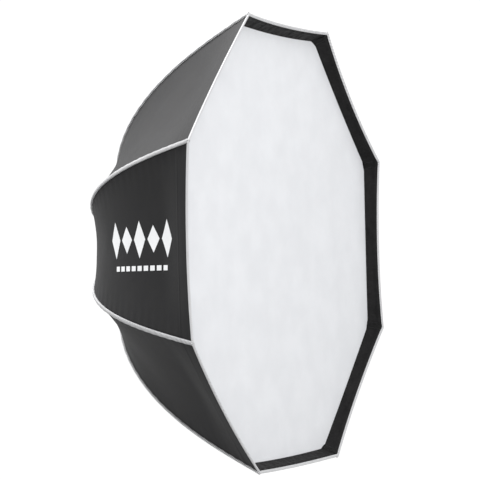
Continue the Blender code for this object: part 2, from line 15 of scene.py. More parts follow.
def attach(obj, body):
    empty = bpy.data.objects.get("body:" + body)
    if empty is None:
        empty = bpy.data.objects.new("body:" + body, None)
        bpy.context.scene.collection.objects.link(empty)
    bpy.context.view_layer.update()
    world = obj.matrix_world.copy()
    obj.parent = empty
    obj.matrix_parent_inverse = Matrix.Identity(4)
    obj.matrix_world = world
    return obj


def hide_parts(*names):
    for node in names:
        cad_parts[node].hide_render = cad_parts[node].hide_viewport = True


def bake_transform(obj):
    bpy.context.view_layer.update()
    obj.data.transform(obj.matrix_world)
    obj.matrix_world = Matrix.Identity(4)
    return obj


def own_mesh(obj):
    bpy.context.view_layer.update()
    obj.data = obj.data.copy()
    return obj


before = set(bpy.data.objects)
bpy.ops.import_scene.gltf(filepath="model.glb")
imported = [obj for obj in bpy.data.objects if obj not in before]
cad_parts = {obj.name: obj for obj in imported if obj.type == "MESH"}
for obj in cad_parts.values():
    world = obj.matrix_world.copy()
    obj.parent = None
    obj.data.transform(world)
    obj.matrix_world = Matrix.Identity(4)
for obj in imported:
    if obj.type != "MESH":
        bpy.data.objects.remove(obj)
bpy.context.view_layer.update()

# ---- sizes shared with the CAD
RIBS = 8
FIRST_RIB_AZIMUTH = math.radians(22.5)
RIB_SPACING = 2 * math.pi / RIBS
RIM_RADIUS = 0.600
SHELL_REAR = 0.010
RIM_FORWARD = 0.483
RIM_LEAN = math.radians(62.4)
RIM_HANDLE = 0.083
HUB_HANDLE = 0.258
SOCKET_END = 0.150
GORE_REAR_RADIUS = 0.116
GORE_HOLLOW = 0.015
HOLLOW_DEPTH = 0.120
INNER_FORWARD = 0.300
INNER_EDGE = 0.445
INNER_BOW = 0.020
STRAP_ANCHOR = 0.4996
PROFILE_STEPS = 600
TAIL_STEPS = 20

# ---- cloth at the front, which hangs a few millimetres off its plain CAD shape
RIM_BOW_BACK = 0.0080
RIM_BOW_INWARD = 0.0003
RIM_DROOP = 0.0050
LIP_REAR_BOW = 0.0015
DIFFUSER_FORWARD = 0.4445
DIFFUSER_EDGE = 0.5704

# ---- cloth
HOLLOW_FADE_FROM = 0.66
CLOTH_THICKNESS = 0.0008
GORE_START = 0.002
SEAM_OFFSETS = np.array([0.0, 0.0044, 0.0051, 0.0058, 0.0065, 0.0075, 0.0105, 0.0165, 0.0260])
GORE_COLUMNS = 16
GORE_ROWS = 84
HEM_AT = 0.046
HEM_HEIGHT = 0.0005
HEM_HALF_WIDTH = 0.0022
PUCKER_HEIGHT = 0.0010
PUCKER_REACH = 0.022
PUCKER_PITCH = 0.031
PUCKER_PHASE = 2.1
PUCKER_SLANT = 9.0
PUCKER_CLEAR = 0.006
SWELL_HEIGHT = 0.0016
LONG_SWELL_RATE = 7.3
LONG_SWELL_PHASE = 1.7
SHORT_SWELL_RATE = 19.0
SHORT_SWELL_SLANT = 0.4
SHORT_SWELL_SHARE = 0.6
GROOVE_DEPTH = 0.0011
GROOVE_HALF_WIDTH = 0.0011
TAPE_WIDTH = 0.0090
TAPE_LIFT = 0.0040
TAPE_ROWS = 110
STITCH_PITCH = 0.0046
STITCH_LENGTH = 0.0031
STITCH_SHAPE = ((0.0, 0.35), (0.3, 1.0), (0.7, 1.0), (1.0, 0.35))
STITCH_SIDES = 4
STITCH_POINTS = STITCH_SIDES * len(STITCH_SHAPE)
SEAM_THREAD = 0.0007
RIM_THREAD = 0.0006
LIP_DEPTH = 0.0455
LIP_INSET = 0.0110
LIP_SPREAD = 0.0060
CORNER_PINCH = 0.038
SEAM_EASE = 0.07
PANEL_STEPS = 28
FORWARD = np.array([0.0, -1.0, 0.0])
UP = np.array([0.0, 0.0, 1.0])


def outward(azimuth):
    return np.array([math.cos(azimuth), 0.0, math.sin(azimuth)])


def sideways(azimuth):
    return np.array([-math.sin(azimuth), 0.0, math.cos(azimuth)])


def rib_azimuth(rib):
    return FIRST_RIB_AZIMUTH + rib * RIB_SPACING


def number(index):
    """Ribs and panels are counted from 1 in names, and go round."""
    return index % RIBS + 1


def shell_table():
    """Rib profile from the rim to the hub: distance along it, radius, forward, normal."""
    travel = np.linspace(0.0, 1.0, PROFILE_STEPS)[:, None]
    back = 1.0 - travel
    rim = np.array([RIM_RADIUS, RIM_FORWARD])
    rim_pull = rim - RIM_HANDLE * np.array([math.cos(RIM_LEAN), math.sin(RIM_LEAN)])
    root = np.array([SOCKET_END, SHELL_REAR])
    root_pull = root + np.array([HUB_HANDLE, 0.0])
    points = (
        rim * back**3
        + 3 * rim_pull * back**2 * travel
        + 3 * root_pull * back * travel**2
        + root * travel**3
    )
    straight = np.linspace(SOCKET_END, GORE_REAR_RADIUS, TAIL_STEPS)[1:]
    tail = np.stack([straight, np.full(len(straight), SHELL_REAR)], 1)
    points = np.concatenate([points, tail])
    heading = np.gradient(points, axis=0)
    heading /= np.linalg.norm(heading, axis=1)[:, None]
    inward = np.stack([heading[:, 1], -heading[:, 0]], 1)
    steps = np.linalg.norm(np.diff(points, axis=0), axis=1)
    along = np.concatenate([[0.0], np.cumsum(steps)])
    return along, points[:, 0], points[:, 1], inward[:, 0], inward[:, 1]


SHELL = shell_table()
SHELL_LENGTH = float(SHELL[0][-1])
CHORD_SHARE = 2 * math.sin(RIB_SPACING / 2)


def profile(along):
    """Radius, forward and inward normal of the shell at distances along it."""
    return [np.interp(along, SHELL[0], column) for column in SHELL[1:]]


def shell_radius(forward):
    return np.interp(forward, SHELL[2][::-1], SHELL[1][::-1])


def smooth_step(value):
    value = np.clip(value, 0.0, 1.0)
    return value * value * (3 - 2 * value)


def ring_point(panel, across, radius, forward, inward, back, droop):
    """Points between two ribs, moved inward, back and down in proportion to the bow."""
    across = np.asarray(across, float)[:, None]
    radius = np.asarray(radius, float).reshape(-1, 1)
    forward = np.asarray(forward, float).reshape(-1, 1)
    near = outward(rib_azimuth(panel))
    far = outward(rib_azimuth(panel + 1))
    middle = outward(rib_azimuth(panel) + RIB_SPACING / 2)
    bow = 4 * across * (1 - across)
    pull = FORWARD * np.reshape(back, (-1, 1)) + middle * np.reshape(inward, (-1, 1))
    pull = pull + UP * np.reshape(droop, (-1, 1))
    return radius * (near * (1 - across) + far * across) + FORWARD * forward - bow * pull


def gore_base(panel, across, along):
    """Outer face of the panels before any wrinkle: bowed rim, then a hollow panel."""
    radius, forward, inward_r, inward_f = profile(along)
    rise = smooth_step((RIM_FORWARD - forward) / HOLLOW_DEPTH)
    fade = 1 - smooth_step((along / SHELL_LENGTH - HOLLOW_FADE_FROM) / (1 - HOLLOW_FADE_FROM))
    hollow = GORE_HOLLOW * rise * fade
    return ring_point(panel, across, radius, forward,
                      RIM_BOW_INWARD * (1 - rise) - inward_r * hollow,
                      RIM_BOW_BACK * (1 - rise) - inward_f * hollow,
                      RIM_DROOP * (1 - rise))


def relief(panel, across, along):
    """Height of the puckers at the seams, the hem ridge and the slow swell of the cloth."""
    chord = CHORD_SHARE * profile(along)[0]
    from_seam = np.minimum(across, 1 - across) * chord
    phase = 2 * math.pi * along / PUCKER_PITCH + PUCKER_PHASE * panel + PUCKER_SLANT * across
    pucker = np.sin(phase)
    pucker *= PUCKER_HEIGHT * np.exp(-from_seam / PUCKER_REACH)
    pucker *= 1 - np.exp(-from_seam / PUCKER_CLEAR)
    beside_tape = (from_seam - TAPE_WIDTH / 2 - GROOVE_HALF_WIDTH) / GROOVE_HALF_WIDTH
    groove = GROOVE_DEPTH * np.exp(-beside_tape**2)
    hem = HEM_HEIGHT * np.exp(-(((along - HEM_AT) / HEM_HALF_WIDTH) ** 2))
    belly = np.sin(math.pi * across)
    swell = np.sin(LONG_SWELL_RATE * along + LONG_SWELL_PHASE * panel) * belly
    short = np.sin(SHORT_SWELL_RATE * along * (SHORT_SWELL_SLANT + across) + panel)
    swell += SHORT_SWELL_SHARE * short * belly
    ends = np.sin(math.pi * np.clip(along / SHELL_LENGTH, 0, 1))
    return pucker - groove + hem + SWELL_HEIGHT * swell * ends


def gore_surface(panel, across, along, lift=0.0):
    """Outer face of a panel, lifted off along its own normal."""
    across = np.asarray(across, float)
    along = np.asarray(along, float)
    small = 1e-4
    base = gore_base(panel, across, along)
    over = gore_base(panel, across + small, along) - gore_base(panel, across - small, along)
    down = gore_base(panel, across, along + small) - gore_base(panel, across, along - small)
    normal = np.cross(down, over)
    normal /= np.linalg.norm(normal, axis=1)[:, None]
    height = lift + relief(panel, across, along)
    return base + normal * height[:, None]


# ---- materials

TINT_FROM = 0.3
TINT_TO = 0.7
CLOTH_BLOTCH_SCALE = 14.0
CLOTH_WEAVE_SHARE = 0.3
CLOTH_BLOTCH_SHARE = 0.7
CLOTH_GLOSS_SPREAD = 0.06
CREASE_DEPTH = 0.02
# share of the painted furrow shade in the tape's colour
TWILL_FURROW_SHADE_SHARE = 0.75
TWILL_BLOTCH_SHARE = 0.35
TWILL_ROUGHNESS = (0.68, 0.82)
MOULDED_GRAIN = 0.25


def new_material(name, colour, roughness, metallic=0.0, sheen=0.0, specular=0.5):
    """Principled material with its constant values on the shader's own sockets."""
    made = bpy.data.materials.new(name)
    made.use_nodes = True
    tree = made.node_tree
    shader = tree.nodes["Principled BSDF"]
    shader.inputs["Base Color"].default_value = (*colour, 1.0)
    shader.inputs["Roughness"].default_value = roughness
    shader.inputs["Metallic"].default_value = metallic
    shader.inputs["Sheen Weight"].default_value = sheen
    shader.inputs["Sheen Roughness"].default_value = 0.4
    shader.inputs["Specular IOR Level"].default_value = specular
    return made, tree, shader


def coordinates(tree, space, scale=(1.0, 1.0, 1.0), turn=0.0):
    """Texture coordinates scaled and turned about Z."""
    source = tree.nodes.new("ShaderNodeTexCoord")
    mapping = tree.nodes.new("ShaderNodeMapping")
    mapping.inputs["Scale"].default_value = scale
    mapping.inputs["Rotation"].default_value = (0.0, 0.0, turn)
    tree.links.new(source.outputs[space], mapping.inputs["Vector"])
    return mapping.outputs["Vector"]


def noise(tree, vector, scale, detail=3.0, roughness=0.55):
    node = tree.nodes.new("ShaderNodeTexNoise")
    node.inputs["Scale"].default_value = scale
    node.inputs["Detail"].default_value = detail
    node.inputs["Roughness"].default_value = roughness
    tree.links.new(vector, node.inputs["Vector"])
    return node.outputs["Fac"]


def threads(tree, vector, per_metre):
    """Sine ridges across X of the given coordinates."""
    node = tree.nodes.new("ShaderNodeTexWave")
    node.wave_type = "BANDS"
    node.bands_direction = "X"
    node.inputs["Scale"].default_value = per_metre * 2 * math.pi / 20.0
    node.inputs["Distortion"].default_value = 0.0
    tree.links.new(vector, node.inputs["Vector"])
    return node.outputs["Fac"]


def maths(tree, operation, first, second):
    node = tree.nodes.new("ShaderNodeMath")
    node.operation = operation
    for socket, value in zip(node.inputs, (first, second)):
        if isinstance(value, (int, float)):
            socket.default_value = value
        else:
            tree.links.new(value, socket)
    return node.outputs["Value"]


def tint(tree, shader, factor, low, high):
    """Base colour between two ends, driven by a factor."""
    node = tree.nodes.new("ShaderNodeValToRGB")
    for stop, value in zip(node.color_ramp.elements, (low, high)):
        stop.color = (*value, 1.0)
    node.color_ramp.elements[0].position = TINT_FROM
    node.color_ramp.elements[1].position = TINT_TO
    tree.links.new(factor, node.inputs["Fac"])
    tree.links.new(node.outputs["Color"], shader.inputs["Base Color"])


def vary_roughness(tree, shader, factor, low, high):
    node = tree.nodes.new("ShaderNodeMapRange")
    node.inputs["To Min"].default_value = low
    node.inputs["To Max"].default_value = high
    tree.links.new(factor, node.inputs["Value"])
    tree.links.new(node.outputs["Result"], shader.inputs["Roughness"])


def bump(tree, shader, height, strength, distance):
    """Adds one bump, on top of any that the shader already has."""
    node = tree.nodes.new("ShaderNodeBump")
    node.inputs["Strength"].default_value = strength
    node.inputs["Distance"].default_value = distance
    tree.links.new(height, node.inputs["Height"])
    if shader.inputs["Normal"].is_linked:
        tree.links.new(shader.inputs["Normal"].links[0].from_socket, node.inputs["Normal"])
    tree.links.new(node.outputs["Normal"], shader.inputs["Normal"])


def woven(name, low, high, pitch, roughness, metallic=0.0, sheen=0.0, weave=0.25,
          crease=0.0, crease_scale=9.0, specular=0.5):
    """Cloth in metre-true UVs: two crossed sets of threads, blotches and soft creases."""
    made, tree, shader = new_material(name, low, roughness, metallic, sheen, specular)
    warp = threads(tree, coordinates(tree, "UV"), 1 / pitch)
    weft = threads(tree, coordinates(tree, "UV", turn=math.pi / 2), 1 / pitch)
    cloth = maths(tree, "MULTIPLY", warp, weft)
    place = coordinates(tree, "Object")
    blotch = noise(tree, place, CLOTH_BLOTCH_SCALE)
    mixed = maths(tree, "ADD", maths(tree, "MULTIPLY", cloth, CLOTH_WEAVE_SHARE),
                  maths(tree, "MULTIPLY", blotch, CLOTH_BLOTCH_SHARE))
    tint(tree, shader, mixed, low, high)
    vary_roughness(tree, shader, blotch, roughness - CLOTH_GLOSS_SPREAD,
                   roughness + CLOTH_GLOSS_SPREAD)
    bump(tree, shader, cloth, weave, pitch / 2)
    if crease:
        bump(tree, shader, noise(tree, place, crease_scale, 2.0, 0.4), crease, CREASE_DEPTH)
    return made


def twill(name, low, high, pitch):
    """Tape with slanting ribs and painted shade in the furrows, in metre-true UVs."""
    made, tree, shader = new_material(name, low, 0.75, sheen=0.1, specular=0.3)
    ribs = threads(tree, coordinates(tree, "UV", turn=math.pi / 4), 1 / pitch)
    blotch = noise(tree, coordinates(tree, "Object"), 30.0)
    # painted shade: the ribs darken the tape's colour in the furrows as well as bumping it
    mixed = maths(tree, "ADD", maths(tree, "MULTIPLY", ribs, TWILL_FURROW_SHADE_SHARE),
                  maths(tree, "MULTIPLY", blotch, TWILL_BLOTCH_SHARE))
    tint(tree, shader, mixed, low, high)
    vary_roughness(tree, shader, blotch, *TWILL_ROUGHNESS)
    bump(tree, shader, ribs, 0.6, pitch / 3)
    return made


def moulded(name, low, high, roughness):
    """Moulded plastic: fine spark-eroded grain and slight wear in the gloss."""
    made, tree, shader = new_material(name, low, roughness)
    place = coordinates(tree, "Object")
    blotch = noise(tree, place, 30.0)
    tint(tree, shader, blotch, low, high)
    vary_roughness(tree, shader, blotch, roughness - 0.08, roughness + 0.08)
    bump(tree, shader, noise(tree, place, 1400.0, 2.0), MOULDED_GRAIN, 0.0004)
    return made


def machined(name, low, high, roughness, metallic=1.0, stretch=(1.0, 1.0, 1.0)):
    """Metal with fine turned or drawn lines and cloudy roughness."""
    made, tree, shader = new_material(name, low, roughness, metallic=metallic)
    place = coordinates(tree, "Object", stretch)
    lines = noise(tree, place, 260.0, 4.0)
    cloud = noise(tree, coordinates(tree, "Object"), 18.0)
    tint(tree, shader, cloud, low, high)
    vary_roughness(tree, shader, lines, roughness - 0.09, roughness + 0.10)
    bump(tree, shader, lines, 0.18, 0.0003)
    return made


BLACK_CLOTH = woven("black_nylon", (0.013, 0.013, 0.014), (0.020, 0.0195, 0.020), 0.0014,
                    0.72, sheen=0.04, weave=0.16, crease=0.10, specular=0.16)
LIP_CLOTH = woven("lip_nylon", (0.006, 0.0058, 0.006), (0.014, 0.0132, 0.0138), 0.0014,
                  0.72, weave=0.30, crease=0.75, crease_scale=32.0, specular=0.22)
SILVER_CLOTH = woven("silver_lining", (0.52, 0.53, 0.54), (0.70, 0.71, 0.72), 0.0016,
                     0.34, metallic=0.85, weave=0.35, crease=0.5, crease_scale=30.0)
WHITE_CLOTH = woven("diffusion_cloth", (0.69, 0.70, 0.722), (0.755, 0.765, 0.787), 0.0011,
                    0.85, sheen=0.05, weave=0.15, crease=0.20, crease_scale=7.0,
                    specular=0.15)
# the low colours of the tapes are their painted furrow shade, mixed with their darker blotches
SEAM_TAPE = twill("seam_tape_twill", (0.20, 0.20, 0.205), (0.67, 0.67, 0.68), 0.0034)
RIM_TAPE = twill("rim_tape_twill", (0.35, 0.35, 0.36), (0.76, 0.76, 0.77), 0.0034)
BLACK_WEBBING = woven("black_webbing", (0.005, 0.005, 0.005), (0.011, 0.011, 0.011), 0.0018,
                      0.70, weave=0.6, crease=0.5, crease_scale=60.0, specular=0.2)
ELASTIC = woven("ribbed_elastic", (0.010, 0.010, 0.010), (0.024, 0.024, 0.024), 0.0012,
                0.70, weave=0.7)
THREAD_GREY = woven("grey_thread", (0.55, 0.56, 0.58), (0.75, 0.76, 0.78), 0.0008, 0.6)
THREAD_DARK = woven("dark_thread", (0.045, 0.045, 0.047), (0.08, 0.08, 0.083), 0.0008, 0.6)
PRINT_WHITE = woven("white_print", (0.80, 0.81, 0.82), (0.90, 0.91, 0.92), 0.0014, 0.60,
                    weave=0.20)
FIBRE_ROD = machined("fibre_rod", (0.035, 0.035, 0.038), (0.07, 0.07, 0.075), 0.35,
                     metallic=0.0, stretch=(1.0, 0.2, 1.0))
BLACK_PLASTIC = moulded("black_plastic", (0.016, 0.016, 0.017), (0.028, 0.028, 0.029), 0.46)
KNOB_PLASTIC = moulded("knob_plastic", (0.020, 0.020, 0.021), (0.034, 0.034, 0.035), 0.38)
BLACK_METAL = machined("black_coated_metal", (0.020, 0.020, 0.022), (0.035, 0.035, 0.038),
                       0.42, metallic=0.35)
ALUMINIUM = machined("turned_aluminium", (0.60, 0.60, 0.62), (0.74, 0.74, 0.76), 0.30)
STEEL = machined("plated_steel", (0.50, 0.50, 0.52), (0.66, 0.66, 0.68), 0.26)


# ---- mesh building

SHARP_ANGLE = math.radians(55)
RIBBON_ROUNDING = 0.35
ON_THE_RIB = 1e-9


def add_piece(name, points, faces, materials, uvs=None, face_looks=None):
    """A closed mesh with outward faces; uvs are per point, in metres."""
    mesh = bpy.data.meshes.new(name)
    mesh.from_pydata([tuple(p) for p in points], [], faces)
    for made in materials:
        mesh.materials.append(made)
    if face_looks is not None:
        mesh.polygons.foreach_set("material_index", face_looks)
    layer = mesh.uv_layers.new(name="UVMap")
    if uvs is None:
        uvs = np.asarray(points)[:, [0, 2]]
    corners = np.empty(len(mesh.loops), int)
    mesh.loops.foreach_get("vertex_index", corners)
    layer.data.foreach_set("uv", np.asarray(uvs, np.float32)[corners].ravel())
    work = bmesh.new()
    work.from_mesh(mesh)
    bmesh.ops.recalc_face_normals(work, faces=work.faces)
    for edge in work.edges:
        edge.smooth = edge.calc_face_angle(0.0) < SHARP_ANGLE
    work.to_mesh(mesh)
    work.free()
    mesh.polygons.foreach_set("use_smooth", [True] * len(mesh.polygons))
    made = bpy.data.objects.new(name, mesh)
    bpy.context.scene.collection.objects.link(made)
    return made


def ring_quads(here, there, count):
    """Faces between two closed rings of points, from the index of each ring's first one."""
    quads = []
    for corner in range(count):
        beside = (corner + 1) % count
        quads.append([here + corner, here + beside, there + beside, there + corner])
    return quads


def stand_for(node):
    """The piece takes the place of a CAD node."""
    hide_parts(node)


def shell_faces(rows, columns):
    """Faces of a closed two-layer grid, outer layer first, and which layer each is on."""
    layer = rows * columns
    faces, looks = [], []
    for row in range(rows - 1):
        for column in range(columns - 1):
            corner = row * columns + column
            quad = [corner, corner + 1, corner + columns + 1, corner + columns]
            faces.append(quad)
            looks.append(0)
            faces.append([layer + index for index in reversed(quad)])
            looks.append(1)
    edge = list(range(columns))
    edge += [row * columns + columns - 1 for row in range(1, rows)]
    edge += [(rows - 1) * columns + column for column in reversed(range(columns - 1))]
    edge += [row * columns for row in reversed(range(1, rows - 1))]
    for here, there in zip(edge, edge[1:] + edge[:1]):
        faces.append([here, there, layer + there, layer + here])
        looks.append(0)
    return faces, looks


def two_layers(name, outer, inner, rows, columns, uv, materials):
    """Thin closed cloth from matching outer and inner grids of points."""
    faces, looks = shell_faces(rows, columns)
    if len(materials) == 1:
        looks = [0] * len(faces)
    points = np.concatenate([outer, inner])
    return add_piece(name, points, faces, materials, uvs=np.tile(uv, (2, 1)), face_looks=looks)


def grid(first, second):
    """Two flat lists of coordinates over a grid, the first varying slowest."""
    a, b = np.meshgrid(first, second, indexing="ij")
    return a.ravel(), b.ravel()


def gathered_share(across):
    """How far a point follows the next rib: even across a panel, easing in at its seams."""
    near = np.minimum(across, 1 - across)
    share = np.where(near < SEAM_EASE, near**2 / (2 * SEAM_EASE), near - SEAM_EASE / 2)
    share /= 1 - SEAM_EASE
    return np.where(across < 0.5, share, 1 - share)


def gather(piece, across):
    """Bakes the piece's transform while its points stand at a value from their eased share
    across the panel, then puts the points back in their places.
    """
    mesh = piece.data
    places = np.empty(len(mesh.vertices) * 3, np.float32)
    mesh.vertices.foreach_get("co", places)
    flat = np.zeros((len(mesh.vertices), 3), np.float32)
    turn = 1 - 2 * gathered_share(np.clip(across, 0.0, 1.0))
    flat[:, 0] = 0.5 - np.sin(np.arcsin(np.clip(turn, -1, 1)) / 3)
    mesh.vertices.foreach_set("co", flat.ravel())
    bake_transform(piece)
    mesh.vertices.foreach_set("co", places)
    mesh.update()
    return piece


def lens_stitches(starts, ends, lifts, width):
    """Points and faces of small raised stitches between matching start and end points."""
    points, faces = [], []
    for start, end, up in zip(starts, ends, lifts):
        run = end - start
        length = np.linalg.norm(run)
        run = run / length
        side = np.cross(run, up)
        side /= np.linalg.norm(side)
        base = len(points)
        for share, size in STITCH_SHAPE:
            centre = start + run * length * share
            half = width / 2 * size
            for turn in range(STITCH_SIDES):
                angle = turn * math.pi / 2
                point = centre + side * half * math.cos(angle) + up * half * math.sin(angle)
                points.append(point)
        last = base + STITCH_POINTS - STITCH_SIDES
        for here in range(base, last, STITCH_SIDES):
            faces += ring_quads(here, here + STITCH_SIDES, STITCH_SIDES)
        faces.append(list(range(base, base + STITCH_SIDES)))
        faces.append(list(range(last, last + STITCH_SIDES)))
    return np.array(points), faces


def stitched(name, starts, ends, lifts, width, look):
    points, faces = lens_stitches(starts, ends, lifts, width)
    return add_piece(name, points, faces, [look])


def ribbon(name, path, side, width, thickness, look):
    """Webbing along a path, with softened edges; side is its width direction."""
    path = np.asarray(path, float)
    heading = np.gradient(path, axis=0)
    heading /= np.linalg.norm(heading, axis=1)[:, None]
    up = np.cross(heading, side)
    up /= np.linalg.norm(up, axis=1)[:, None]
    half, thick = width / 2, thickness / 2
    edge = thick * RIBBON_ROUNDING
    section = [
        (-half, -edge), (-half + thick, -thick), (half - thick, -thick), (half, -edge),
        (half, edge), (half - thick, thick), (-half + thick, thick), (-half, edge),
    ]
    count = len(section)
    points, uvs = [], []
    travelled = np.concatenate([[0], np.cumsum(np.linalg.norm(np.diff(path, axis=0), axis=1))])
    for centre, lift, distance in zip(path, up, travelled):
        for across, height in section:
            points.append(centre + side * across + lift * height)
            uvs.append((across, distance))
    faces = []
    for row in range(len(path) - 1):
        faces += ring_quads(row * count, (row + 1) * count, count)
    faces.append(list(range(count)))
    faces.append([len(points) - count + corner for corner in range(count)])
    return add_piece(name, points, faces, [look], uvs=uvs)


# ---- fabric shell

def chord_at(along):
    return CHORD_SHARE * profile(along)[0]


def gore_rows():
    """Distances along the cloth, closer together across the hem ridge."""
    even = np.linspace(GORE_START, SHELL_LENGTH - 0.0005, GORE_ROWS)
    hem = HEM_AT + HEM_HALF_WIDTH * np.array([-2.0, -1.0, -0.5, 0.0, 0.5, 1.0, 2.0])
    return np.unique(np.round(np.concatenate([even, hem]), 6))


def gore_grid(rows):
    """Cloth coordinates of every point: columns crowd beside the seams, row by row."""
    chord = chord_at(rows)[:, None]
    near = SEAM_OFFSETS / chord
    middle = np.linspace(0, 1, GORE_COLUMNS)[1:-1]
    between = near[:, -1:] + (1 - 2 * near[:, -1:]) * middle
    across = np.concatenate([near, between, 1 - near[:, ::-1]], axis=1)
    return np.repeat(rows, across.shape[1]), across.ravel(), across.shape[1]


def make_gore(panel):
    """One black panel with its silver lining, from rib to rib and from rim to hub."""
    rows = gore_rows()
    along, across, columns = gore_grid(rows)
    outer = gore_surface(panel, across, along)
    inner = gore_surface(panel, across, along, -CLOTH_THICKNESS)
    uv = np.stack([(across - 0.5) * chord_at(along), along], 1)
    name = f"gore_{number(panel)}"
    piece = two_layers(name, outer, inner, len(rows), columns, uv,
                       [BLACK_CLOTH, SILVER_CLOTH])
    gather(piece, np.tile(across, 2))
    stand_for(f"gore_panel_{number(panel)}")
    return piece


def beside_rib(rib, offset, along, lift):
    """Points on the cloth at a sideways offset from a rib, on whichever panel that is."""
    share = np.abs(offset) / chord_at(along)
    ahead = gore_surface(rib, share, along, lift)
    behind = gore_surface(rib - 1, 1 - share, along, lift)
    middle = (np.abs(offset) < ON_THE_RIB)[:, None]
    return np.where(middle, (ahead + behind) / 2, np.where((offset > 0)[:, None], ahead, behind))


TAPE_END = 0.001
TAPE_ACROSS = np.array([-0.5, -0.48, -0.38, -0.2, 0.0, 0.2, 0.38, 0.48, 0.5])
TAPE_CROWN = np.array([0.15, 0.62, 0.92, 1.0, 1.0, 1.0, 0.92, 0.62, 0.15])
TAPE_UNDERSIDE = 0.0001
SEAM_STITCHES_FROM = 0.014
SEAM_STITCHES_SHORT = 0.008
SEAM_STITCH_SHARE = 0.36


def make_seam_tape(rib):
    """Pale tape folded over the seam along a rib, with a row of stitches down each side."""
    rows = np.linspace(TAPE_END, SHELL_LENGTH - TAPE_END, TAPE_ROWS)
    offsets = TAPE_WIDTH * TAPE_ACROSS
    along, offset = grid(rows, offsets)
    lift = np.tile(TAPE_CROWN, len(rows)) * TAPE_LIFT
    outer = beside_rib(rib, offset, along, lift)
    inner = beside_rib(rib, offset, along, TAPE_UNDERSIDE)
    uv = np.stack([offset, along], 1)
    tape = two_layers(f"seam_tape_{number(rib)}", outer, inner, len(rows), len(offsets), uv,
                      [SEAM_TAPE])
    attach(tape, f"rib_{number(rib)}")
    starts_at = np.arange(SEAM_STITCHES_FROM, SHELL_LENGTH - SEAM_STITCHES_SHORT, STITCH_PITCH)
    starts, ends, ups = [], [], []
    step = 0.001
    for side in (-SEAM_STITCH_SHARE, SEAM_STITCH_SHARE):
        offset = np.full(len(starts_at), side * TAPE_WIDTH)
        near = beside_rib(rib, offset, starts_at, TAPE_LIFT)
        far = beside_rib(rib, offset, starts_at + STITCH_LENGTH, TAPE_LIFT)
        above = beside_rib(rib, offset, starts_at, TAPE_LIFT + step)
        starts += list(near)
        ends += list(far)
        ups += list((above - near) / step)
    row = stitched(f"seam_stitches_{number(rib)}", starts, ends, ups, SEAM_THREAD, THREAD_GREY)
    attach(row, f"rib_{number(rib)}")
    return [tape, row]


def between_corners(across):
    """0 at a corner, where the rod's tip holds the border off the panels, and 1 past it."""
    across = np.asarray(across, float)
    return smooth_step(np.minimum(across, 1 - across) / CORNER_PINCH)


def band_point(panel, across, inset, back, share=0.0):
    """Points round the front opening, at a radial inset from the shell and behind the rim.

    share runs from 0 for cloth that bows with the rim to 1 for the border's rear edge.
    """
    forward = RIM_FORWARD - np.asarray(back, float)
    inward = RIM_BOW_INWARD + (LIP_REAR_BOW - RIM_BOW_INWARD) * share
    radius = shell_radius(forward) - inset
    return ring_point(panel, across, radius, forward, inward, RIM_BOW_BACK * (1 - share),
                      RIM_DROOP)


def lip_point(panel, across, inset, back):
    """Points on the border: close to the panels between corners, clear of the rods at them."""
    share = np.clip(np.asarray(back, float) / LIP_DEPTH, 0.0, 1.0)
    spread = LIP_SPREAD * between_corners(across) * smooth_step(share / 0.4)
    return band_point(panel, across, inset - spread, back, share)


def band(name, panel, outer_path, inner_path, look, place, ripple=None):
    """Cloth running along one side of the rim; paths are (inset, distance behind the rim)."""
    shares = np.linspace(0, 1, PANEL_STEPS + 1)
    layers = []
    for path in (outer_path, inner_path):
        across, index = grid(shares, np.arange(len(path)))
        inset, back = np.array(path)[index].T
        if ripple is not None:
            inset = inset + ripple(panel, across, back)
        layers.append(place(panel, across, inset, back))
    girth = np.concatenate([[0], np.cumsum(np.linalg.norm(np.diff(outer_path, axis=0), axis=1))])
    across, travelled = grid(shares, girth)
    uv = np.stack([travelled, across * CHORD_SHARE * RIM_RADIUS], 1)
    piece = two_layers(name, layers[0], layers[1], len(shares), len(outer_path), uv, [look])
    return gather(piece, np.tile(across, 2))


BINDING_OUTER = [(-0.0011, 0.0050), (-0.0013, 0.0034), (-0.0011, 0.0014), (-0.0004, 0.0001),
                 (0.0008, -0.0006), (0.0024, -0.0007), (0.0036, -0.0003), (0.0046, 0.0006),
                 (0.0053, 0.0016), (0.0058, 0.0026)]
BINDING_INNER = [(-0.0003, 0.0050), (-0.0004, 0.0034), (-0.0002, 0.0018), (0.0003, 0.0009),
                 (0.0012, 0.0003), (0.0023, 0.0001), (0.0032, 0.0005), (0.0039, 0.0013),
                 (0.0045, 0.0022), (0.0050, 0.0031)]
BORDER_TURN = [(0.0030, 0.0014), (0.0038, 0.0023), (0.0047, 0.0034), (0.0062, 0.0046),
               (0.0082, 0.0060), (0.0100, 0.0080), (0.0110, 0.0108)]
BORDER_THICKNESS = 0.0008
RIM_STITCH_INSET = -0.0013
RIM_STITCH_BACK = 0.0042
RIM_STITCH_MARGIN = 0.010


def binding_stitches(panel):
    """A row of stitches on the rim tape's outer flap."""
    side = CHORD_SHARE * RIM_RADIUS
    shares = np.arange(RIM_STITCH_MARGIN, side - RIM_STITCH_MARGIN, STITCH_PITCH) / side
    back = np.full(len(shares), RIM_STITCH_BACK)
    starts = band_point(panel, shares, RIM_STITCH_INSET, back)
    ends = band_point(panel, shares + STITCH_LENGTH / side, RIM_STITCH_INSET, back)
    ups = [outward(rib_azimuth(panel) + RIB_SPACING / 2)] * len(shares)
    row = stitched(f"rim_stitches_{number(panel)}", starts, ends, ups, RIM_THREAD,
                   THREAD_GREY)
    return gather(row, np.repeat(shares, STITCH_POINTS))


LIP_FOLD_HEIGHT = 0.0004
LIP_FOLD_ACROSS = 58.0
LIP_FOLD_BACK = 130.0
LIP_PULL_HEIGHT = 0.0006
LIP_PULL_ACROSS = 14.0
LIP_PULL_BACK = 150.0
LIP_PULL_REACH = 0.10
LIP_RIPPLE_FROM = 0.006
LIP_RIPPLE_OVER = 0.012


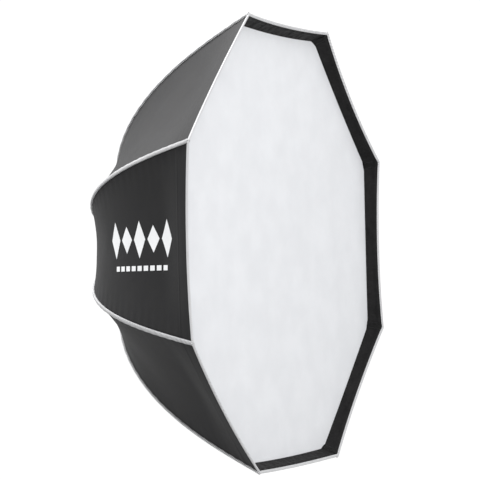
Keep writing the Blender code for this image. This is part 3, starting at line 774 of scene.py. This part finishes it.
def lip_ripple(panel, across, back):
    """Soft folds where the border is pulled towards the corners."""
    corner = np.exp(-np.minimum(across, 1 - across) / LIP_PULL_REACH)
    folds = np.sin(LIP_FOLD_ACROSS * across + LIP_FOLD_BACK * back + panel) * LIP_FOLD_HEIGHT
    pulls = np.sin(LIP_PULL_BACK * back + LIP_PULL_ACROSS * across + 2 * panel)
    edge = smooth_step((back - LIP_RIPPLE_FROM) / LIP_RIPPLE_OVER)
    return (folds + pulls * corner * LIP_PULL_HEIGHT) * edge


def make_rim(panel):
    """Rim tape, the black border inside it and their stitches, for one side."""
    binding = band(f"rim_tape_{number(panel)}", panel, BINDING_OUTER, BINDING_INNER, RIM_TAPE,
                   band_point)
    stand_for("rim_binding")
    face = BORDER_TURN + [(LIP_INSET, back) for back in np.linspace(0.0145, LIP_DEPTH, 15)]
    slope = np.gradient(np.array(face), axis=0)
    slope /= np.linalg.norm(slope, axis=1)[:, None]
    behind = np.array(face) + BORDER_THICKNESS * np.stack([-slope[:, 1], slope[:, 0]], 1)
    border = band(f"border_{number(panel)}", panel, face, behind, LIP_CLOTH, lip_point,
                  lip_ripple)
    stand_for("front_border")
    return [binding, border, binding_stitches(panel)]


def corner_band_point(rib, offset, inset, back):
    """Points on the border at a sideways offset from a rib's corner."""
    side = CHORD_SHARE * RIM_RADIUS
    share = np.abs(offset) / side
    ahead = lip_point(rib, share, inset, back)
    behind = lip_point(rib - 1, 1 - share, inset, back)
    return np.where((offset >= 0)[:, None], ahead, behind)


PATCH_HALF_WIDTH = 0.0105
PATCH_SWELL = 0.0006
PATCH_NARROWING = 0.35
PATCH_STITCH_INSET = 0.0126
PATCH_STITCH_PITCH = 0.0036
PATCH_STITCH_LENGTH = 0.0024
PATCH_STITCH_SHARE = 0.82
PATCH_OUTER = [(0.0056, 0.0022), (0.0064, 0.0024), (0.0078, 0.0034), (0.0096, 0.0048),
               (0.0112, 0.0066), (0.0120, 0.0090), (0.0124, 0.0130), (0.0124, 0.0200),
               (0.0124, 0.0280), (0.0121, 0.0345)]
PATCH_INNER = [(0.0054, 0.0032), (0.0060, 0.0036), (0.0070, 0.0044), (0.0086, 0.0056),
               (0.0101, 0.0072), (0.0110, 0.0094), (0.0113, 0.0130), (0.0113, 0.0200),
               (0.0113, 0.0280), (0.0113, 0.0345)]


def make_corner_patch(rib):
    """Pocket over the rod's tip, from the rim tape back, with stitches down each side."""
    offsets = PATCH_HALF_WIDTH * np.sin(np.linspace(-math.pi / 2, math.pi / 2, 17))
    offset, index = grid(offsets, np.arange(len(PATCH_OUTER)))
    layers = []
    for path, swell in ((PATCH_OUTER, PATCH_SWELL), (PATCH_INNER, 0.0)):
        inset, back = np.array(path)[index].T
        rise = swell * np.cos(offset / PATCH_HALF_WIDTH * math.pi / 2)
        taper = 1 - PATCH_NARROWING * smooth_step((0.010 - back) / 0.012)
        layers.append(corner_band_point(rib, offset * taper, inset + rise, back))
    uv = np.stack([offset, np.array(PATCH_OUTER)[index, 1]], 1)
    patch = two_layers(f"corner_patch_{number(rib)}", layers[0], layers[1], len(offsets),
                       len(PATCH_OUTER), uv, [BLACK_WEBBING])
    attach(patch, f"rib_{number(rib)}")
    marks = np.arange(0.0125, 0.0325, PATCH_STITCH_PITCH)
    starts, ends = [], []
    for side in (-PATCH_STITCH_SHARE, PATCH_STITCH_SHARE):
        offset = np.full(len(marks), side * PATCH_HALF_WIDTH)
        starts += list(corner_band_point(rib, offset, PATCH_STITCH_INSET, marks))
        ends += list(corner_band_point(rib, offset, PATCH_STITCH_INSET,
                                       marks + PATCH_STITCH_LENGTH))
    ups = [-outward(rib_azimuth(rib))] * len(starts)
    row = stitched(f"patch_stitches_{number(rib)}", starts, ends, ups, SEAM_THREAD,
                   THREAD_DARK)
    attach(row, f"rib_{number(rib)}")
    return [patch, row]


# ---- diffusers

KITE_STEPS = np.concatenate([np.linspace(0, 0.93, 26), [0.952, 0.968, 0.978, 0.984, 1.0]])
HEM_SWELL = 0.0004
HEM_FROM = 0.968
HEM_OVER = 0.012
FRONT_SLACK = 0.0011
FRONT_SAG = 0.0030
SLACK_ENDS_FROM = 0.36
SLACK_ENDS_OVER = 0.20
INNER_SLACK = 0.0010


def edge_point(rib, share, edge):
    """Points on the outline of a diffuser; share runs from -0.5 to 0.5 past a rib."""
    share = np.asarray(share, float)
    across = np.abs(share)
    radius = edge["radius"] + edge["spread"] * between_corners(across)
    forward = np.full(len(share), edge["forward"])
    ahead = ring_point(rib, across, radius, forward, edge["bow"], 0.0, edge["droop"])
    behind = ring_point(rib - 1, 1 - across, radius, forward, edge["bow"], 0.0, edge["droop"])
    return np.where((share >= 0)[:, None], ahead, behind)


def front_height(x, z):
    """Slack of the front cloth: soft upright folds that die out at the edge."""
    edge = 1 - smooth_step((np.hypot(x, z) - SLACK_ENDS_FROM) / SLACK_ENDS_OVER)
    folds = np.sin(26 * x + 2.2 * np.sin(3.1 * z) + 0.6) * (0.6 + 0.4 * np.sin(5 * z + 1.0))
    folds += 0.5 * np.sin(47 * x + 9 * z + 1.9)
    sag = FRONT_SAG * np.cos(2.1 * x) * np.cos(2.1 * z)
    return FRONT_SLACK * folds * edge + sag * edge


def inner_height(x, z):
    return INNER_SLACK * np.sin(21 * x + 1.0) * np.cos(17 * z)


def kite(name, rib, edge, height):
    """The part of an octagonal cloth nearest one rib, out to the middles of two sides."""
    a, b = grid(KITE_STEPS, KITE_STEPS)
    centre = FORWARD * edge["forward"]

    def side(share):
        return edge_point(rib, share, edge) - centre

    low_middle = side(np.array([-0.5]))
    high_middle = side(np.array([0.5]))
    corner = side(np.array([0.0]))
    a_column, b_column = a[:, None], b[:, None]
    flat = (
        (1 - b_column) * low_middle * a_column
        + b_column * side(0.5 - 0.5 * a)
        + (1 - a_column) * high_middle * b_column
        + a_column * side(-0.5 + 0.5 * b)
        - a_column * (1 - b_column) * low_middle
        - (1 - a_column) * b_column * high_middle
        - a_column * b_column * corner
    )
    flat += centre
    hem = HEM_SWELL * smooth_step((np.maximum(a, b) - HEM_FROM) / HEM_OVER)
    lift = height(flat[:, 0], flat[:, 2])
    front = flat + FORWARD * (lift + hem + CLOTH_THICKNESS / 2)[:, None]
    back = flat + FORWARD * (lift - hem - CLOTH_THICKNESS / 2)[:, None]
    return two_layers(name, front, back, len(KITE_STEPS), len(KITE_STEPS), flat[:, [0, 2]],
                      [WHITE_CLOTH])


FRONT_EDGE = {"radius": DIFFUSER_EDGE, "forward": DIFFUSER_FORWARD - 0.0008,
              "bow": LIP_REAR_BOW, "droop": RIM_DROOP, "spread": LIP_SPREAD}
INNER_OUTLINE = {"radius": INNER_EDGE, "forward": INNER_FORWARD, "bow": INNER_BOW,
                 "droop": 0.0, "spread": 0.0}


def make_front_cloth(rib):
    piece = kite(f"front_cloth_{number(rib)}", rib, FRONT_EDGE, front_height)
    return follow_fold(piece, f"corner_{number(rib)}", "front_diffuser")


def make_inner_cloth(rib):
    piece = kite(f"inner_cloth_{number(rib)}", rib, INNER_OUTLINE, inner_height)
    return follow_fold(piece, f"strap_{number(rib)}", "inner_diffuser")


def follow_fold(piece, body, node):
    """Tilt with the body, on a mesh of its own, in place of the CAD node."""
    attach(piece, body)
    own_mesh(piece)
    stand_for(node)
    return piece


# ---- straps and tabs

STRAP_START = 0.418
STRAP_SHORT_OF_ROD = 0.0062
STRAP_BEFORE_CLOTH = 0.0016
STRAP_WIDTH = 0.012
STRAP_THICKNESS = 0.0014
LOOP_RADIUS = 0.0043
LOOP_WIDTH = 0.013
LOOP_THICKNESS = 0.0011
TAB_START = 0.532
TAB_END = 0.5605
TAB_BEHIND_CLOTH = 0.0034
TAB_WIDTH = 0.026
TAB_THICKNESS = 0.0016


def rib_points(rib, radii_and_forwards):
    """World points in a rib's own plane."""
    ahead = outward(rib_azimuth(rib))
    return np.array([ahead * radius + FORWARD * forward
                     for radius, forward in radii_and_forwards])


def make_strap(rib):
    """Elastic strap from the inner diffuser's corner to the rod, and its loop on the rod."""
    sideways_here = sideways(rib_azimuth(rib))
    radii = np.linspace(STRAP_START, STRAP_ANCHOR - STRAP_SHORT_OF_ROD, 14)
    path = rib_points(rib, [(r, INNER_FORWARD + STRAP_BEFORE_CLOTH) for r in radii])
    strap = ribbon(f"strap_{number(rib)}", path, sideways_here, STRAP_WIDTH, STRAP_THICKNESS,
                   ELASTIC)
    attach(strap, f"strap_{number(rib)}")
    stand_for(f"inner_strap_{number(rib)}")
    along = float(np.interp(-INNER_FORWARD, -SHELL[2], SHELL[0]))
    _, _, inward_r, inward_f = profile(along)
    rod_way = outward(rib_azimuth(rib)) * inward_f - FORWARD * inward_r
    across_way = outward(rib_azimuth(rib)) * inward_r + FORWARD * inward_f
    centre = rib_points(rib, [(STRAP_ANCHOR, INNER_FORWARD)])[0]
    turns = np.linspace(0, 2 * math.pi, 25)
    loop = [centre + LOOP_RADIUS * (across_way * math.cos(t) + sideways_here * math.sin(t))
            for t in turns]
    collar = ribbon(f"rod_loop_{number(rib)}", loop, rod_way, LOOP_WIDTH, LOOP_THICKNESS,
                    ELASTIC)
    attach(collar, f"rib_{number(rib)}")
    return [strap, collar]


def make_corner_tab(rib):
    """Webbing tab behind a corner of the front cloth."""
    radii = np.linspace(TAB_START, TAB_END, 9)
    path = rib_points(rib, [(r, DIFFUSER_FORWARD - TAB_BEHIND_CLOTH) for r in radii])
    tab = ribbon(f"tab_{number(rib)}", path, sideways(rib_azimuth(rib)), TAB_WIDTH,
                 TAB_THICKNESS, BLACK_WEBBING)
    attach(tab, f"corner_{number(rib)}")
    stand_for(f"corner_tab_{number(rib)}")
    return tab


# ---- plain mark on a panel

MARK_PANEL = 3
MARK_ALONG = 0.226
LOZENGES = 5
LOZENGE_PITCH = 0.0600
LOZENGE_HALF_WIDTH = 0.0250
LOZENGE_HALF_HEIGHTS = (0.044, 0.032)
LOZENGE_RAISE = 0.012
DASHES = 9
DASH_PITCH = 0.0275
DASH_LENGTH = 0.0185
DASH_HEIGHT = 0.0120
DASH_START = 0.119
DASH_DROP = 0.050
PRINT_LIFTS = (0.0005, 0.0001)


def mark_shapes():
    """Corner lists of (along, sideways) in metres: tall and short lozenges over dashes."""
    shapes = []
    for place in range(LOZENGES):
        centre = (LOZENGES // 2 - place) * LOZENGE_PITCH
        half = LOZENGE_HALF_HEIGHTS[place % 2]
        shapes.append([(centre + LOZENGE_HALF_WIDTH, -LOZENGE_RAISE),
                       (centre, -LOZENGE_RAISE - half),
                       (centre - LOZENGE_HALF_WIDTH, -LOZENGE_RAISE),
                       (centre, -LOZENGE_RAISE + half)])
    for dash in range(DASHES):
        start = DASH_START - dash * DASH_PITCH
        shapes.append([(start, DASH_DROP), (start - DASH_LENGTH, DASH_DROP),
                       (start - DASH_LENGTH, DASH_DROP + DASH_HEIGHT),
                       (start, DASH_DROP + DASH_HEIGHT)])
    return shapes


def make_mark():
    """Thin print on the side panel: a geometric mark that spells nothing."""
    steps = 6
    points, faces, uvs, shares = [], [], [], []
    for corners in mark_shapes():
        a, b = grid(np.linspace(0, 1, steps), np.linspace(0, 1, steps))
        p = np.array(corners)
        place = (
            np.outer((1 - a) * (1 - b), p[0]) + np.outer(a * (1 - b), p[1])
            + np.outer(a * b, p[2]) + np.outer((1 - a) * b, p[3])
        )
        along = MARK_ALONG + place[:, 0]
        across = 0.5 + place[:, 1] / chord_at(along)
        start = len(points)
        for lift in PRINT_LIFTS:
            points += list(gore_surface(MARK_PANEL, across, along, lift))
            uvs += list(place)
            shares += list(across)
        more, _ = shell_faces(steps, steps)
        faces += [[start + index for index in face] for face in more]
    mark = add_piece("panel_mark", points, faces, [PRINT_WHITE], uvs=np.array(uvs))
    return gather(mark, np.array(shares))


# ---- hub dressing

def turned(name, outline, segments, centre, x_way, y_way, axis, look):
    """Solid of revolution; the outline runs from the axis round to the axis again."""
    inner = outline[1:-1]
    points = [centre + axis * outline[0][1]]
    for radius, height in inner:
        for step in range(segments):
            turn = 2 * math.pi * step / segments
            points.append(centre + axis * height
                          + radius * (x_way * math.cos(turn) + y_way * math.sin(turn)))
    points.append(centre + axis * outline[-1][1])
    last = len(points) - 1
    top = 1 + (len(inner) - 1) * segments
    faces = []
    for step in range(segments):
        beside = (step + 1) % segments
        faces.append([0, 1 + beside, 1 + step])
        for row in range(len(inner) - 1):
            low, high = 1 + row * segments, 1 + (row + 1) * segments
            faces.append([low + step, low + beside, high + beside, high + step])
        faces.append([top + step, top + beside, last])
    return add_piece(name, points, faces, [look])


def turned_band(name, outline, segments, look):
    """Ring about the optical axis from a closed (radius, forward) outline."""
    count = len(outline)
    points, faces = [], []
    for step in range(segments):
        azimuth = 2 * math.pi * step / segments
        points += [outward(azimuth) * radius + FORWARD * forward for radius, forward in outline]
    for step in range(segments):
        faces += ring_quads(step * count, ((step + 1) % segments) * count, count)
    return add_piece(name, points, faces, [look])


COVER_SEGMENTS = 96
COVER_FACE = 0.0030
COVER_EDGE = [(0.1290, 0.0031), (0.1296, 0.0016), (0.1312, 0.0008), (0.1332, 0.0012),
              (0.1344, 0.0030), (0.1345, 0.0068), (0.1330, 0.0070), (0.1329, 0.0040)]
COVER_STEP = [(0.0915, 0.0031), (0.0920, 0.0020), (0.0938, 0.0018), (0.0948, 0.0031)]
SCREW_CIRCLE = 0.114
SCREW_SEGMENTS = 20
SCREW_DOME = [(0, 0.0), (0.0034, 0.0), (0.0036, 0.0006), (0.0031, 0.0015), (0.0018, 0.0020),
              (0.0012, 0.0020), (0.0011, 0.0011), (0, 0.0011)]


def make_hub_dressing():
    """The rear cover's raised edge, its inner step and its screws."""
    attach(turned_band("cover_edge", COVER_EDGE, COVER_SEGMENTS, BLACK_PLASTIC), "hub")
    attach(turned_band("cover_step", COVER_STEP, COVER_SEGMENTS, BLACK_PLASTIC), "hub")
    for index in range(RIBS):
        azimuth = rib_azimuth(index) + RIB_SPACING / 2
        centre = outward(azimuth) * SCREW_CIRCLE + FORWARD * COVER_FACE
        screw = turned(f"cover_screw_{index + 1}", SCREW_DOME, SCREW_SEGMENTS, centre,
                       outward(azimuth), sideways(azimuth), -FORWARD, STEEL)
        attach(screw, "hub")


def dress_cad_nodes():
    """Procedural finishes for the CAD solids that stay in view."""
    looks = {
        "bayonet_flange": ALUMINIUM,
        "retaining_ring": BLACK_METAL,
        "hub_ring": BLACK_METAL,
        "rear_cover": BLACK_PLASTIC,
        "swivel_lock_knob": KNOB_PLASTIC,
    }
    for rib in range(1, RIBS + 1):
        looks[f"rib_rod_{rib}"] = FIBRE_ROD
        looks[f"rib_root_{rib}"] = BLACK_PLASTIC
        looks[f"hinge_pin_{rib}"] = STEEL
    for screw in range(1, 4):
        looks[f"retaining_screw_{screw}"] = STEEL
    for node, look in looks.items():
        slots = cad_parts[node].data.materials
        for index in range(len(slots)):
            slots[index] = look


# ---- studio

CAMERA_PLACE = (-4.44598, -2.58582, -0.08866)
CAMERA_YAW = math.radians(63.058)
CAMERA_PITCH = math.radians(1.171)
CAMERA_ROLL = math.radians(-1.337)
CAMERA_LENS = 146.9
CAMERA_SENSOR = 36.0
CAMERA_REACH = 60.0
FLOOR_HEIGHT = -1.30
FLOOR_FADE = 9.0
FLOOR_NEAR = (0.36, 0.36, 0.36)
FLOOR_FAR = (0.97, 0.97, 0.97)
FLOOR_REACH = 40.0
FLOOR_MOTTLE = 0.03
SURROUND_STRENGTH = 1.06
TOP_LAMP = {"place": (0.1, 0.9, 2.7), "target": (-0.1, -0.1, 0.3), "size": 1.8,
            "power": 160.0}
FRONT_LAMP = {"place": (-1.9, -3.4, 0.6), "target": (0.0, -0.4, 0.05), "size": 1.6,
              "power": 34.0}


def make_camera():
    """Long lens from the front left, level with the middle of the softbox."""
    ahead = Vector((
        math.sin(CAMERA_YAW) * math.cos(CAMERA_PITCH),
        math.cos(CAMERA_YAW) * math.cos(CAMERA_PITCH),
        math.sin(CAMERA_PITCH),
    ))
    level = Vector((math.cos(CAMERA_YAW), -math.sin(CAMERA_YAW), 0.0))
    above = level.cross(ahead)
    right = level * math.cos(CAMERA_ROLL) + above * math.sin(CAMERA_ROLL)
    up = above * math.cos(CAMERA_ROLL) - level * math.sin(CAMERA_ROLL)
    data = bpy.data.cameras.new("camera")
    data.lens = CAMERA_LENS
    data.sensor_width = CAMERA_SENSOR
    data.clip_end = CAMERA_REACH
    camera = bpy.data.objects.new("camera", data)
    camera.matrix_world = Matrix((
        (right.x, up.x, -ahead.x, CAMERA_PLACE[0]),
        (right.y, up.y, -ahead.y, CAMERA_PLACE[1]),
        (right.z, up.z, -ahead.z, CAMERA_PLACE[2]),
        (0.0, 0.0, 0.0, 1.0),
    ))
    bpy.context.scene.collection.objects.link(camera)
    bpy.context.scene.camera = camera


def area_light(name, place, target, size, power):
    data = bpy.data.lights.new(name, "AREA")
    data.size = size
    data.energy = power
    lamp = bpy.data.objects.new(name, data)
    lamp.location = place
    lamp.rotation_euler = (Vector(target) - Vector(place)).to_track_quat("-Z", "Y").to_euler()
    lamp.visible_camera = False
    bpy.context.scene.collection.objects.link(lamp)


def pale_floor():
    """Pale grey under the softbox, fading to white far away so no horizon shows."""
    made, tree, shader = new_material("pale_floor", FLOOR_NEAR, 0.9)
    place = coordinates(tree, "Object")
    length = tree.nodes.new("ShaderNodeVectorMath")
    length.operation = "LENGTH"
    tree.links.new(place, length.inputs[0])
    fade = maths(tree, "DIVIDE", length.outputs["Value"], FLOOR_FADE)
    mottled = maths(tree, "ADD", fade, maths(tree, "MULTIPLY", noise(tree, place, 3.0),
                                             FLOOR_MOTTLE))
    tint(tree, shader, mottled, FLOOR_NEAR, FLOOR_FAR)
    return made


def make_studio():
    """Pale floor far below the softbox, even white surroundings and soft lamps."""
    world = bpy.data.worlds.new("studio")
    bpy.context.scene.world = world
    world.use_nodes = True
    background = world.node_tree.nodes["Background"]
    background.inputs["Color"].default_value = (1.0, 1.0, 1.0, 1.0)
    background.inputs["Strength"].default_value = SURROUND_STRENGTH
    floor_look = pale_floor()
    mesh = bpy.data.meshes.new("floor")
    reach = FLOOR_REACH
    mesh.from_pydata([(-reach, -reach, FLOOR_HEIGHT), (reach, -reach, FLOOR_HEIGHT),
                      (reach, reach, FLOOR_HEIGHT), (-reach, reach, FLOOR_HEIGHT)],
                     [], [(0, 1, 2, 3)])
    mesh.materials.append(floor_look)
    floor = bpy.data.objects.new("floor", mesh)
    bpy.context.scene.collection.objects.link(floor)
    area_light("top", **TOP_LAMP)
    area_light("front", **FRONT_LAMP)
    bpy.context.scene.view_settings.view_transform = "Standard"
    bpy.context.scene.view_settings.look = "None"


# ---- build


def build():
    """Every piece in turn, then the studio."""
    make_camera()
    for index in range(RIBS):
        gore = make_gore(index)
        rim = make_rim(index)
        tape = make_seam_tape(index)
        patch = make_corner_patch(index)
        mark = [make_mark()] if index == MARK_PANEL else []
        front = make_front_cloth(index)
        tab = make_corner_tab(index)
        inner = make_inner_cloth(index)
        straps = make_strap(index)
    make_hub_dressing()
    dress_cad_nodes()
    make_studio()


build()
